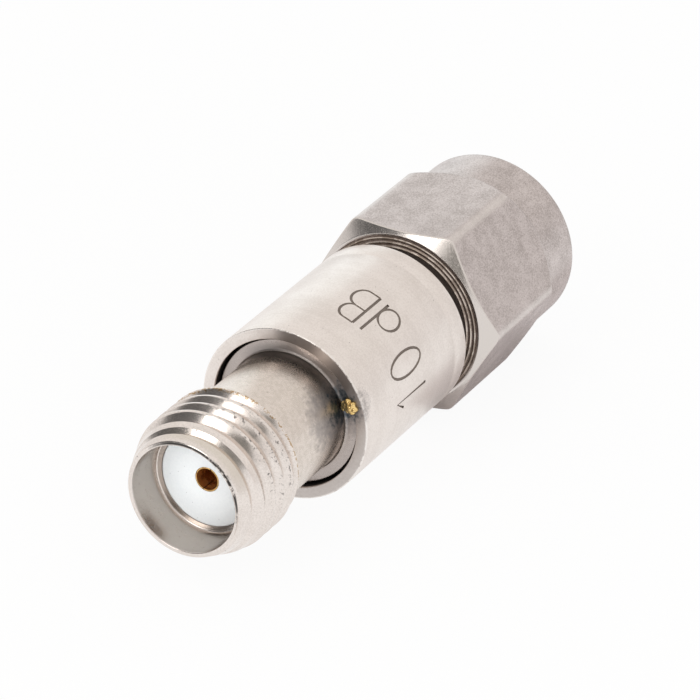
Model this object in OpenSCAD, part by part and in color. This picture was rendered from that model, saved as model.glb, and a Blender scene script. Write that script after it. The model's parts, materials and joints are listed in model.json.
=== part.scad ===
// Coaxial fixed attenuator: jack, plain sleeve and plug with a captive coupling nut.
// The line's axis runs along X with the jack mouth at -X. The part lies on a flat of the nut.

/* [Jack] */
// Major diameter of the outside thread
jack_thread_d = 6.2; // [6.18:0.01:6.34]
// Length of the threaded end
jack_thread_l = 3.75; // [3.4:0.05:4.4]
// Outer diameter of the flat ring at the mouth
jack_land_d = 5; // [4.9:0.05:5.2]
// Length of the tapered lead from the mouth to the full thread
jack_taper_l = 1.6; // [0.6:0.1:2]
// Diameter of the mouth counterbore
jack_bore_d = 4.62; // [4.6:0.01:4.67]
// Depth of the mouth counterbore
jack_bore_depth = 1.85; // [1.8:0.01:1.98]
// Diameter of the smooth neck behind the thread
neck_d = 5.26; // [5.1:0.02:5.4]
// Length of the slope from the thread down to the neck
neck_slope_l = 0.3; // [0.1:0.05:0.5]
// Radius of the fillet where the neck meets the flange
neck_fillet = 0.14; // [0.1:0.02:0.36]
// Diameter of the flange at the foot of the neck
flange_d = 6.24; // [6:0.02:6.3]
// Length of the flange
flange_l = 0.6; // [0.4:0.1:1]
// Length of the land pressed into the sleeve
jack_press_l = 1.8; // [1.4:0.1:2.4]
// Length of the jack that stands out of the sleeve
jack_reach = 8.05; // [7.5:0.05:9]
// Depth of the flange face below the end of the sleeve
flange_recess = 0.3; // [0.2:0.05:0.4]

/* [Sleeve] */
// Outer diameter of the sleeve
sleeve_d = 7.54; // [7.3:0.02:7.8]
// Bore of the sleeve
sleeve_bore_d = 6.54; // [6.46:0.02:6.7]
// Length of the sleeve
sleeve_l = 8.6; // [8.2:0.1:10]
// Chamfer on the outer edges of the sleeve
sleeve_chamfer = 0.12; // [0.05:0.01:0.2]

/* [Solder bead] */
// Angle of the bead above the side of the part
bead_angle = 20; // [0:1:40]
// Arc that the bead covers round the sleeve
bead_span = 13; // [8:1:20]
// Height of the bead above the sleeve's end face
bead_rise = 0.2; // [0.1:0.05:0.3]
// Width of the bead's foot on each side of the gap
bead_foot = 0.16; // [0.08:0.02:0.2]

/* [Coaxial line] */
// Diameter of the jack's insulator
insulator_d = 4.1; // [4:0.02:4.2]
// Diameter of the centre conductor inside the insulators
conductor_d = 1.25; // [1.2:0.01:1.3]
// Bore of the socket in the jack
socket_d = 0.93; // [0.92:0.01:0.95]
// Depth of the socket
socket_l = 2.7; // [2.5:0.1:3.2]
// Width of the slots in the socket
socket_slot_w = 0.1; // [0.06:0.01:0.16]
// Length of the slots in the socket
socket_slot_l = 2.1; // [1.6:0.1:2.4]
// Chamfer at the socket's mouth
socket_chamfer = 0.04; // [0.02:0.01:0.08]
// Diameter of the plug's pin
pin_d = 0.91; // [0.9:0.01:0.94]
// Length of the pin beyond the end of the ferrule
pin_l = 2.3; // [1.9:0.05:2.5]
// Length of the pin's tapered tip
pin_tip_l = 0.45; // [0.3:0.05:0.6]
// Diameter of the flat at the end of the pin's tip
pin_tip_d = 0.36; // [0.2:0.02:0.5]

/* [Attenuating element] */
// Length of the ceramic chip
chip_l = 2.6; // [2.2:0.1:3]
// Width of the ceramic chip
chip_w = 4.9; // [4.6:0.1:5.4]
// Thickness of the ceramic chip
chip_t = 0.4; // [0.3:0.05:0.6]
// Length of the chip that each centre conductor grips
chip_grip = 0.45; // [0.3:0.05:0.6]

/* [Plug] */
// Diameter of the barrel that the nut turns on
barrel_d = 5.2; // [5.1:0.05:5.3]
// Depth of the plug's press land below the end of the sleeve
plug_recess = 0.35; // [0.2:0.05:0.6]
// Outer diameter of the ferrule
ferrule_d = 4.55; // [4.5:0.01:4.59]
// Wall of the ferrule
ferrule_wall = 0.215; // [0.15:0.005:0.25]
// Length of the ferrule in front of the barrel
ferrule_l = 2.35; // [2.2:0.05:2.6]
// Chamfer on the ferrule's outer edge
ferrule_chamfer = 0.1; // [0.05:0.01:0.14]
// Distance from the end of the ferrule to the end of the nut
ferrule_setback = 3.25; // [2.8:0.05:3.5]

/* [Coupling nut] */
// Width of the nut across its flats
nut_af = 8; // [7.9:0.02:8.2]
// Diameter over the nut's rounded corners
nut_corner_d = 9.1; // [8.7:0.02:9.14]
// Length of the nut
nut_l = 8.65; // [8:0.05:9]
// Gap between the sleeve and the nut
nut_gap = 1.05; // [0.6:0.05:1.2]
// Outer diameter of the nut's flat back face
nut_back_d = 7.6; // [7.2:0.05:7.8]
// Angle of the back chamfer from the back face
nut_back_angle = 30; // [20:1:45]
// Depth of the turned ring groove in the back face
nut_ring_depth = 0.06; // [0.02:0.01:0.1]
// Diameter at the middle of the ring groove in the back face
nut_ring_d = 6.84; // [6.7:0.02:7.3]
// Width of the ring groove in the back face
nut_ring_w = 0.1; // [0.06:0.02:0.16]
// Diameter of the round nose
nut_nose_d = 7.84; // [7.7:0.02:8]
// Length of the round nose
nut_nose_l = 2.4; // [1.6:0.05:2.6]
// Angle of the front slope from the axis
nut_front_angle = 35; // [25:1:45]
// Chamfer on the nose's outer edge
nut_nose_chamfer = 0.15; // [0.05:0.05:0.3]
// Bore of the nut at the crests of its inside thread
nut_thread_d = 5.72; // [5.66:0.01:5.74]
// Mouth diameter of the nut's countersink
nut_mouth_d = 6.5; // [6.4:0.05:6.7]
// Depth of the nut's countersink
nut_mouth_l = 0.45; // [0.3:0.05:0.6]
// Diameter of the relief at the inner end of the thread
nut_relief_d = 6.4; // [6.35:0.05:6.6]

/* [Retaining ring and gasket] */
// Axial width of the retaining ring
ring_w = 0.6; // [0.5:0.05:0.7]
// Distance from the back of the nut to the retaining ring
ring_setback = 1.2; // [1:0.05:1.5]
// Radial height of the ring above the barrel
ring_rise = 0.35; // [0.25:0.05:0.4]
// Radial depth of the ring below the barrel
ring_sink = 0.3; // [0.2:0.05:0.35]
// Opening of the split in the ring
ring_split = 0.8; // [0.5:0.1:1.2]
// Thickness of the gasket
gasket_t = 0.6; // [0.4:0.05:0.7]
// Depth of the taper at the ferrule's foot, inside the gasket
gasket_seat_depth = 0.075; // [0.05:0.005:0.1]
// Axial room in front of the gasket before the ferrule's straight part
gasket_room = 0.1; // [0.05:0.05:0.2]

/* [Fits] */
// Radial gap between pieces that are pressed together
press_gap = 0.01; // [0.005:0.005:0.02]
// Radial gap between the nut and what it turns on
running_gap = 0.06; // [0.03:0.01:0.1]
// Axial gap on each side of the retaining ring in the nut
ring_play = 0.08; // [0.05:0.01:0.15]

/* [Hidden] */
$fn = 96;
// Lengthening of a cut past the face that it opens
cut = 0.5;
// Straight steps in a rounded edge
arc_steps = 6;

// Places along the axis, counted from the jack's mouth
sleeve_start = jack_reach;
sleeve_end = sleeve_start + sleeve_l;
flange_face = sleeve_start + flange_recess;
jack_press_start = flange_face + flange_l;
chip_start = jack_press_start + jack_press_l;
chip_end = chip_start + chip_l;
plug_press_end = sleeve_end - plug_recess;
nut_start = sleeve_end + nut_gap;
nut_end = nut_start + nut_l;
ferrule_end = nut_end - ferrule_setback;
shoulder = ferrule_end - ferrule_l;
gasket_end = shoulder + gasket_t;
ferrule_start = gasket_end + gasket_room;
ring_start = nut_start + ring_setback;
ring_end = ring_start + ring_w;
nose_start = nut_end - nut_nose_l;

// Radii that several pieces share
thread_r = jack_thread_d / 2;
neck_r = neck_d / 2;
land_r = jack_land_d / 2;
press_r = sleeve_bore_d / 2 - press_gap;
insulator_r = insulator_d / 2;
ferrule_r = ferrule_d / 2;
plug_bore_r = ferrule_r - ferrule_wall;
gasket_seat_r = ferrule_r - gasket_seat_depth;
conductor_r = conductor_d / 2;
barrel_r = barrel_d / 2;
ring_outer_r = barrel_r + ring_rise;
ring_inner_r = barrel_r - ring_sink;
lip_r = barrel_r + running_gap;
relief_r = nut_relief_d / 2;
corner_r = nut_corner_d / 2;
nose_r = nut_nose_d / 2;

// Points of an arc about a centre, from one angle to another
function arc(centre, r, from, to) =
    [for (i = [0:arc_steps]) let (a = from + (to - from) * i / arc_steps) centre + r * [cos(a), sin(a)]];

// Sets children, drawn along Z from the jack's mouth, on the part's axis
module on_axis() {
    translate([-nut_end / 2, 0, nut_af / 2]) rotate([0, 90, 0]) children();
}

// Solid of revolution from points of radius and place along the axis
module turned(points) {
    rotate_extrude() polygon(points);
}

// Round bar or bore between two places along the axis
module bar(r, from, to) {
    translate([0, 0, from]) cylinder(r = r, h = to - from);
}

// Slab across the axis for slots and chip grooves
module slab(w, t, from, to) {
    translate([-t / 2, -w / 2, from]) cube([t, w, to - from]);
}

module jack_shell() {
    fillet_centre = [neck_r + neck_fillet, flange_face - neck_fillet];
    outline = concat(
        [[0, 0], [land_r, 0], [thread_r, jack_taper_l], [thread_r, jack_thread_l]],
        [[neck_r, jack_thread_l + neck_slope_l]],
        arc(fillet_centre, neck_fillet, 180, 90),
        [[flange_d / 2, flange_face], [flange_d / 2, jack_press_start]],
        [[press_r, jack_press_start], [press_r, chip_start], [0, chip_start]]
    );
    color("#cdc6be") on_axis() difference() {
        turned(outline);
        bar(jack_bore_d / 2, -cut, jack_bore_depth);
        bar(insulator_r + press_gap, 0, chip_start + cut);
    }
}

module jack_insulator() {
    color("#eef1f4") on_axis() difference() {
        bar(insulator_r, jack_bore_depth, chip_start);
        bar(conductor_r + press_gap, 0, chip_start + cut);
    }
}

module jack_contact() {
    socket_r = socket_d / 2;
    socket_end = jack_bore_depth + socket_l;
    flare = [
        [0, jack_bore_depth - cut], [socket_r + socket_chamfer + cut, jack_bore_depth - cut],
        [socket_r, jack_bore_depth + socket_chamfer], [0, jack_bore_depth + socket_chamfer],
    ];
    color("#c9a24a") on_axis() difference() {
        bar(conductor_r, jack_bore_depth, chip_start + chip_grip);
        bar(socket_r, jack_bore_depth - cut, socket_end);
        turned(flare);
        for (turn = [45, 135])
            rotate(turn) slab(2 * conductor_d, socket_slot_w, jack_bore_depth - cut, jack_bore_depth + socket_slot_l);
        slab(2 * conductor_d, chip_t + 2 * press_gap, chip_start - press_gap, chip_start + chip_grip + cut);
    }
}

module sleeve() {
    sleeve_r = sleeve_d / 2;
    outline = [
        [sleeve_bore_d / 2, sleeve_start], [sleeve_r - sleeve_chamfer, sleeve_start],
        [sleeve_r, sleeve_start + sleeve_chamfer], [sleeve_r, sleeve_end - sleeve_chamfer],
        [sleeve_r - sleeve_chamfer, sleeve_end], [sleeve_bore_d / 2, sleeve_end],
    ];
    color("#d3ccc4") on_axis() turned(outline);
}

module solder_bead() {
    gap_inner = flange_d / 2 + press_gap;
    gap_outer = sleeve_bore_d / 2 - press_gap;
    outline = [
        [gap_inner, jack_press_start], [gap_inner, flange_face - press_gap],
        [gap_inner - bead_foot, flange_face - press_gap], [gap_inner - bead_foot / 2, sleeve_start - bead_rise / 2],
        [(gap_inner + gap_outer) / 2, sleeve_start - bead_rise], [gap_outer + bead_foot / 2, sleeve_start - bead_rise / 2],
        [gap_outer + bead_foot, sleeve_start - press_gap], [gap_outer, sleeve_start - press_gap],
        [gap_outer, jack_press_start],
    ];
    color("#d9b45a") on_axis()
        rotate(-90 - bead_angle - bead_span / 2) rotate_extrude(angle = bead_span) polygon(outline);
}

module chip_carrier() {
    color("#c8bfae") on_axis() difference() {
        bar(press_r, chip_start, chip_end);
        bar(insulator_r, chip_start - cut, chip_end + cut);
        slab(chip_w + 2 * press_gap, chip_t + 2 * press_gap, chip_start - cut, chip_end + cut);
    }
}

module attenuator_chip() {
    color("#e9e6df") on_axis() slab(chip_w, chip_t, chip_start, chip_end);
}

module plug_shell() {
    outline = [
        [plug_bore_r, chip_end], [press_r, chip_end], [press_r, plug_press_end], [barrel_r, plug_press_end],
        [barrel_r, ring_start - press_gap], [ring_inner_r - press_gap, ring_start - press_gap],
        [ring_inner_r - press_gap, ring_end + press_gap], [barrel_r, ring_end + press_gap], [barrel_r, shoulder],
        [gasket_seat_r, shoulder], [ferrule_r, ferrule_start],
        [ferrule_r, ferrule_end - ferrule_chamfer],
        [ferrule_r - ferrule_chamfer, ferrule_end], [plug_bore_r, ferrule_end],
    ];
    color("#cdc6be") on_axis() turned(outline);
}

module plug_insulator() {
    color("#eef1f4") on_axis() difference() {
        bar(plug_bore_r - press_gap, chip_end, ferrule_end);
        bar(conductor_r + press_gap, chip_end - cut, ferrule_end + cut);
    }
}

module plug_pin() {
    pin_r = pin_d / 2;
    pin_end = ferrule_end + pin_l;
    outline = [
        [0, chip_end - chip_grip], [conductor_r, chip_end - chip_grip], [conductor_r, ferrule_end],
        [pin_r, ferrule_end], [pin_r, pin_end - pin_tip_l], [pin_tip_d / 2, pin_end], [0, pin_end],
    ];
    color("#c9a24a") on_axis() difference() {
        turned(outline);
        slab(2 * conductor_d, chip_t + 2 * press_gap, chip_end - chip_grip - cut, chip_end + press_gap);
    }
}

module retaining_ring() {
    color("#b9a27a") on_axis() difference() {
        bar(ring_outer_r, ring_start, ring_end);
        bar(ring_inner_r, ring_start - cut, ring_end + cut);
        translate([-ring_outer_r - cut, -ring_split / 2, ring_start - cut])
            cube([ring_outer_r + cut, ring_split, ring_w + 2 * cut]);
    }
}

module gasket() {
    color("#b5452f") on_axis() difference() {
        bar(relief_r - running_gap, shoulder + press_gap, gasket_end);
        bar(ferrule_r + press_gap, shoulder - cut, gasket_end + cut);
    }
}

module coupling_nut() {
    back_r = nut_back_d / 2;
    ring_r = nut_ring_d / 2;
    outer = [
        [0, nut_start], [ring_r - nut_ring_w / 2, nut_start], [ring_r, nut_start + nut_ring_depth],
        [ring_r + nut_ring_w / 2, nut_start], [back_r, nut_start],
        [corner_r, nut_start + (corner_r - back_r) * tan(nut_back_angle)],
        [corner_r, nose_start - (corner_r - nose_r) / tan(nut_front_angle)],
        [nose_r, nose_start], [nose_r, nut_end - nut_nose_chamfer],
        [nose_r - nut_nose_chamfer, nut_end], [0, nut_end],
    ];
    inner = [
        [0, nut_start - cut], [lip_r, nut_start - cut], [lip_r, ring_start - ring_play],
        [ring_outer_r + running_gap, ring_start - ring_play], [ring_outer_r + running_gap, ring_end + ring_play],
        [lip_r, ring_end + ring_play], [lip_r, shoulder - ring_play], [relief_r, shoulder - ring_play],
        [relief_r, gasket_end + ring_play],
        [nut_thread_d / 2, gasket_end + ring_play + relief_r - nut_thread_d / 2],
        [nut_thread_d / 2, nut_end - nut_mouth_l], [nut_mouth_d / 2, nut_end], [nut_mouth_d / 2, nut_end + cut],
        [0, nut_end + cut],
    ];
    color("#c4bcb4") on_axis() difference() {
        intersection() {
            turned(outer);
            rotate(30) translate([0, 0, nut_start - cut]) cylinder(d = nut_af / cos(30), h = nut_l + 2 * cut, $fn = 6);
        }
        turned(inner);
    }
}

jack_shell();
jack_insulator();
jack_contact();
sleeve();
solder_bead();
chip_carrier();
attenuator_chip();
plug_shell();
plug_insulator();
plug_pin();
retaining_ring();
gasket();
coupling_nut();
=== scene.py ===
"""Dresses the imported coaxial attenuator: turned shells, threads, marking, solder bead and studio."""

import json
import logging
import math
from dataclasses import dataclass
from enum import Enum
from typing import NamedTuple

import bmesh
import bpy
from mathutils import Matrix, Vector, noise


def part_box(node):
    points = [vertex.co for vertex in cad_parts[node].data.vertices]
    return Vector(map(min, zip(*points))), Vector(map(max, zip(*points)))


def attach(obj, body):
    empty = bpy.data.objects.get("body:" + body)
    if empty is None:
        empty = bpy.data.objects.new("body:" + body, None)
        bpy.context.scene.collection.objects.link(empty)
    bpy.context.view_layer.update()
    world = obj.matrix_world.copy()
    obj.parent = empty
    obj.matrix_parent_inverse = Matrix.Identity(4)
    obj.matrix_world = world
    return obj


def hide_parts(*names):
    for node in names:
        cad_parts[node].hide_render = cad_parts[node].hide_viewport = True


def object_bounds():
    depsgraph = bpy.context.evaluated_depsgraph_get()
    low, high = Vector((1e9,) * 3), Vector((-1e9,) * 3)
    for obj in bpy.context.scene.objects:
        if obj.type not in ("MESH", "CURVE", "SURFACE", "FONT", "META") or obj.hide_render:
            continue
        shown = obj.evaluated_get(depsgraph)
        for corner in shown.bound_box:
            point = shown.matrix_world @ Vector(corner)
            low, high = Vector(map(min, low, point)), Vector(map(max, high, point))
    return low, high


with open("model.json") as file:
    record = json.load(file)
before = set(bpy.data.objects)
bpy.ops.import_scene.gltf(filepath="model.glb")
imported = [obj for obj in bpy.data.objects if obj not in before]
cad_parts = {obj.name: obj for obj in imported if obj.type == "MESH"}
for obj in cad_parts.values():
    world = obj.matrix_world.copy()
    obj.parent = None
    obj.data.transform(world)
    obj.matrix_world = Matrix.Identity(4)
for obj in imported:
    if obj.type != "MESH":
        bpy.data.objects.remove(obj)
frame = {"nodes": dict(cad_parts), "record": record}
CAD_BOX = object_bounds()

LOG = logging.getLogger("attenuator")
# Metres in a millimetre
MM = 0.001
# Faces round a turned piece
STEPS = 256
# Faces round a thin turned piece
THIN_STEPS = 128
# Points closer than this are one point, in mm
WELD = 1e-4
# Edges sharper than this stay crisp
SHARP = math.radians(34)
# Advance of the coupling thread in one turn, in mm
THREAD_PITCH = 25.4 / 36
# Room between pieces that fit into each other, in mm
FIT = 0.01

Pair = tuple[float, float]
Triple = tuple[float, float, float]
Colour = tuple[float, float, float, float]
Mesh = bmesh.types.BMesh
Socket = bpy.types.NodeSocket


class Body(Enum):
    """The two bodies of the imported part."""

    ATTENUATOR = "attenuator"
    NUT = "nut"


class Corner(NamedTuple):
    """A corner of a turned outline, in mm: place along the axis, radius, and rounding."""

    along: float
    radius: float
    round: float = 0.0


@dataclass(frozen=True)
class Line:
    """The part's axis in the frame: where the jack's mouth lies on it and how high it runs."""

    start: float
    height: float

    @classmethod
    def from_frame(cls) -> "Line":
        """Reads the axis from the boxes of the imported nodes."""
        low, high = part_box("sleeve")
        return cls(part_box("jack_shell")[0].x, (low.z + high.z) / 2)

    def matrix(self) -> Matrix:
        """Takes places in mm from the jack's mouth to places in the frame."""
        return Matrix.Translation((self.start, 0, self.height)) @ Matrix.Scale(MM, 4)

    def span(self, node: str) -> Pair:
        """First and last place of a node along the axis, in mm from the jack's mouth."""
        low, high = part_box(node)
        return (low.x - self.start) / MM, (high.x - self.start) / MM

    def radius(self, node: str) -> float:
        """Largest radius of a node, in mm, across the part."""
        low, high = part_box(node)
        return (high.y - low.y) / 2 / MM


def mount(name: str, size: str) -> float:
    """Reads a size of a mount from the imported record.

    Args:
        name: The mount's name.
        size: The key of the size, such as r_mm.

    Returns:
        The size in mm.
    """
    return next(m for m in frame["record"]["mounts"] if m["name"] == name)["dims"][size]


def rounded(corners: list[Corner], closed: bool = True, steps: int = 4) -> list[Vector]:
    """Turns the corners of an outline into points, with an arc at each rounded corner.

    Args:
        corners: The outline's corners in order.
        closed: Whether the last corner joins the first.
        steps: Straight steps in each arc.

    Returns:
        The points of the outline as (along, radius).
    """
    spots = [Vector((c.along, c.radius)) for c in corners]
    points: list[Vector] = []
    for i, corner in enumerate(corners):
        at = spots[i]
        if corner.round <= 0 or (not closed and i in (0, len(spots) - 1)):
            points.append(at)
            continue
        to_last = spots[i - 1] - at
        to_next = spots[(i + 1) % len(spots)] - at
        half = to_last.angle(to_next) / 2
        reach = min(corner.round / math.tan(half), 0.48 * to_last.length, 0.48 * to_next.length)
        first = at + to_last.normalized() * reach
        last = at + to_next.normalized() * reach
        middle = (to_last.normalized() + to_next.normalized()).normalized()
        centre = at + middle * (reach / math.cos(half))
        spoke = first - centre
        sweep = math.remainder(math.atan2(*(last - centre).yx) - math.atan2(*spoke.yx), math.tau)
        points += [centre + Matrix.Rotation(sweep * k / steps, 2) @ spoke for k in range(steps + 1)]
    return points


def swept(outline: list[Vector], places: list[Matrix], closed: bool, joined: bool) -> Mesh:
    """Lays a skin over an outline that moves from place to place.

    The rings are laid one by one, since the order that bmesh's own spin leaves changes from run to run.

    Args:
        outline: The outline's points as (along, radius), in mm.
        places: The move of the outline for each ring.
        closed: Whether the outline closes on itself.
        joined: Whether the last ring joins the first.

    Returns:
        The skin, without ends.
    """
    bm = bmesh.new()
    rings = [[bm.verts.new(place @ Vector((p.x, 0.0, p.y))) for p in outline] for place in places]
    for ring, after in zip(rings, rings[1:] + rings[:1] if joined else rings[1:]):
        for i in range(0 if closed else 1, len(outline)):
            bm.faces.new((ring[i - 1], ring[i], after[i], after[i - 1]))
    return bm


def lathe(corners: list[Corner], closed: bool = True, steps: int = STEPS, arc: int = 4) -> Mesh:
    """Turns an outline round the axis.

    Args:
        corners: The outline's corners in order, in mm.
        closed: Whether the outline closes on itself; an open one ends on the axis.
        steps: Faces round the axis.
        arc: Straight steps in each rounded corner.

    Returns:
        The turned mesh, in mm about the axis.
    """
    turns = [Matrix.Rotation(math.tau * k / steps, 4, "X") for k in range(steps)]
    bm = swept(rounded(corners, closed, arc), turns, closed, joined=True)
    bmesh.ops.remove_doubles(bm, verts=bm.verts, dist=WELD)
    bmesh.ops.recalc_face_normals(bm, faces=bm.faces)
    return bm


def both_flanks(half: list[Pair]) -> list[Pair]:
    """Mirrors one side of a groove's section.

    Args:
        half: Points from the open side to the root, as (half width, radius) in mm.

    Returns:
        The whole section as (along, radius).
    """
    return [(-along, radius) for along, radius in half] + half[::-1]


def helix(section: list[Pair], pitch: float, first: float, last: float) -> Mesh:
    """Sweeps a groove's section along a right-hand helix, as a closed cutter.

    Args:
        section: Points of the section as (along, radius), in mm.
        pitch: Advance in one turn.
        first: Place along the axis where the sweep starts.
        last: Place along the axis where it ends.

    Returns:
        The cutter's mesh.
    """
    a_turn = 120
    # Share of a step that keeps the cutter's points off the turned mesh's own planes
    ahead = 0.13
    steps = round((last - first) / pitch * a_turn)
    turns = [(k + ahead) / a_turn for k in range(steps + 1)]
    places = [
        Matrix.Translation((first + pitch * turn, 0, 0)) @ Matrix.Rotation(math.tau * turn, 4, "X")
        for turn in turns
    ]
    bm = swept([Vector(point) for point in section], places, closed=True, joined=False)
    bmesh.ops.holes_fill(bm, edges=[e for e in bm.edges if e.is_boundary], sides=0)
    bmesh.ops.recalc_face_normals(bm, faces=bm.faces)
    return bm


def block(low: Triple, high: Triple, turn: float = 0) -> Mesh:
    """Makes a box cutter between two corners, turned about the axis.

    Args:
        low: Lowest corner, in mm.
        high: Highest corner, in mm.
        turn: Angle about the axis, in degrees.

    Returns:
        The cutter's mesh.
    """
    bm = bmesh.new()
    bmesh.ops.create_cube(bm, size=1)
    low, high = Vector(low), Vector(high)
    bmesh.ops.scale(bm, vec=high - low, verts=bm.verts)
    bmesh.ops.translate(bm, vec=(low + high) / 2, verts=bm.verts)
    bmesh.ops.rotate(bm, cent=(0, 0, 0), matrix=Matrix.Rotation(math.radians(turn), 3, "X"), verts=bm.verts)
    return bm


def scratch(bm: Mesh) -> bpy.types.Object:
    """Puts a mesh on a scratch object.

    Args:
        bm: The mesh; it is freed.

    Returns:
        The scratch object.
    """
    mesh = bpy.data.meshes.new("scratch")
    bm.to_mesh(mesh)
    bm.free()
    made = bpy.data.objects.new("scratch", mesh)
    bpy.context.scene.collection.objects.link(made)
    return made


def settled(made: bpy.types.Object) -> Mesh:
    """Takes a scratch object's mesh with its modifiers applied.

    Args:
        made: The scratch object; it is deleted.

    Returns:
        The mesh.
    """
    bm = bmesh.new()
    bm.from_object(made, bpy.context.evaluated_depsgraph_get())
    mesh = made.data
    bpy.data.objects.remove(made)
    bpy.data.meshes.remove(mesh)
    return bm


def carve(bm: Mesh, cutter: Mesh) -> Mesh:
    """Cuts one closed mesh out of another.

    Args:
        bm: The mesh that is cut; it is freed.
        cutter: The mesh that is taken away; it is freed.

    Returns:
        The mesh that is left.
    """
    kept, gone = scratch(bm), scratch(cutter)
    cut = kept.modifiers.new("cut", "BOOLEAN")
    cut.operation, cut.solver, cut.object = "DIFFERENCE", "EXACT", gone
    left = settled(kept)
    settled(gone).free()
    return left


def add_piece(
    bm: Mesh, name: str, line: Line, body: Body, node: str, material: bpy.types.Material
) -> None:
    """Makes a finished piece from a mesh in mm about the axis.

    Args:
        bm: The piece's mesh; it is freed.
        name: The piece's name.
        line: The part's axis.
        body: The body that the piece rides on.
        node: The node that the piece stands for.
        material: The piece's finish.
    """
    bm.transform(line.matrix())
    mesh = bpy.data.meshes.new(name)
    bm.to_mesh(mesh)
    bm.free()
    mesh.shade_smooth()
    mesh.set_sharp_from_angle(angle=SHARP)
    mesh.materials.append(material)
    piece = bpy.data.objects.new(name, mesh)
    bpy.context.scene.collection.objects.link(piece)
    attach(piece, body.value)
    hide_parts(node)
    LOG.info("%s: %d faces on body %s", name, len(mesh.polygons), body.value)


class Graph:
    """Adds nodes to a node tree and links them."""

    def __init__(self, tree: bpy.types.NodeTree) -> None:
        """Takes the tree to fill."""
        self.tree = tree

    def feed(self, socket: Socket, value: object) -> None:
        """Links a socket to an input, or sets the input's own value.

        Args:
            socket: The input.
            value: A socket to link, or a value to set.
        """
        if isinstance(value, Socket):
            self.tree.links.new(value, socket)
        else:
            socket.default_value = value

    def node(self, kind: str, inputs: dict | None = None, **settings: object) -> bpy.types.Node:
        """Adds a node.

        Args:
            kind: The node's type.
            inputs: Values or sockets by input name or number.
            settings: The node's own settings.

        Returns:
            The node.
        """
        made = self.tree.nodes.new(kind)
        for key, value in settings.items():
            setattr(made, key, value)
        for key, value in (inputs or {}).items():
            self.feed(made.inputs[key], value)
        return made

    def math(self, operation: str, *values: object, clamp: bool = False) -> Socket:
        """Adds a Math node on up to three values and returns its result."""
        settings = {"operation": operation, "use_clamp": clamp}
        return self.node("ShaderNodeMath", dict(enumerate(values)), **settings).outputs[0]

    def blend(self, share: object, first: object, second: object) -> Socket:
        """Mixes two colours by a share and returns the colour."""
        made = self.node("ShaderNodeMix", {0: share, 6: first, 7: second}, data_type="RGBA")
        return made.outputs[2]

    def between(self, value: object, low: float, high: float, start: float = 0, end: float = 1) -> Socket:
        """Maps a value smoothly from one range to another, held at the ends."""
        inputs = {0: value, 1: low, 2: high, 3: start, 4: end}
        return self.node("ShaderNodeMapRange", inputs, interpolation_type="SMOOTHSTEP").outputs[0]

    def noise(self, vector: object, scale: object, detail: float = 3, roughness: float = 0.55) -> Socket:
        """Adds noise on a vector and returns its value."""
        inputs = {"Vector": vector, "Scale": scale, "Detail": detail, "Roughness": roughness}
        return self.node("ShaderNodeTexNoise", inputs).outputs[0]

    def group(self, name: str, **inputs: object) -> bpy.types.Node:
        """Places a shared node group.

        Args:
            name: The group's name.
            inputs: Values or sockets by input name.

        Returns:
            The group's node.
        """
        made = self.tree.nodes.new("ShaderNodeGroup")
        made.node_tree = bpy.data.node_groups[name]
        for key, value in inputs.items():
            self.feed(made.inputs[key], value)
        return made


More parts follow.
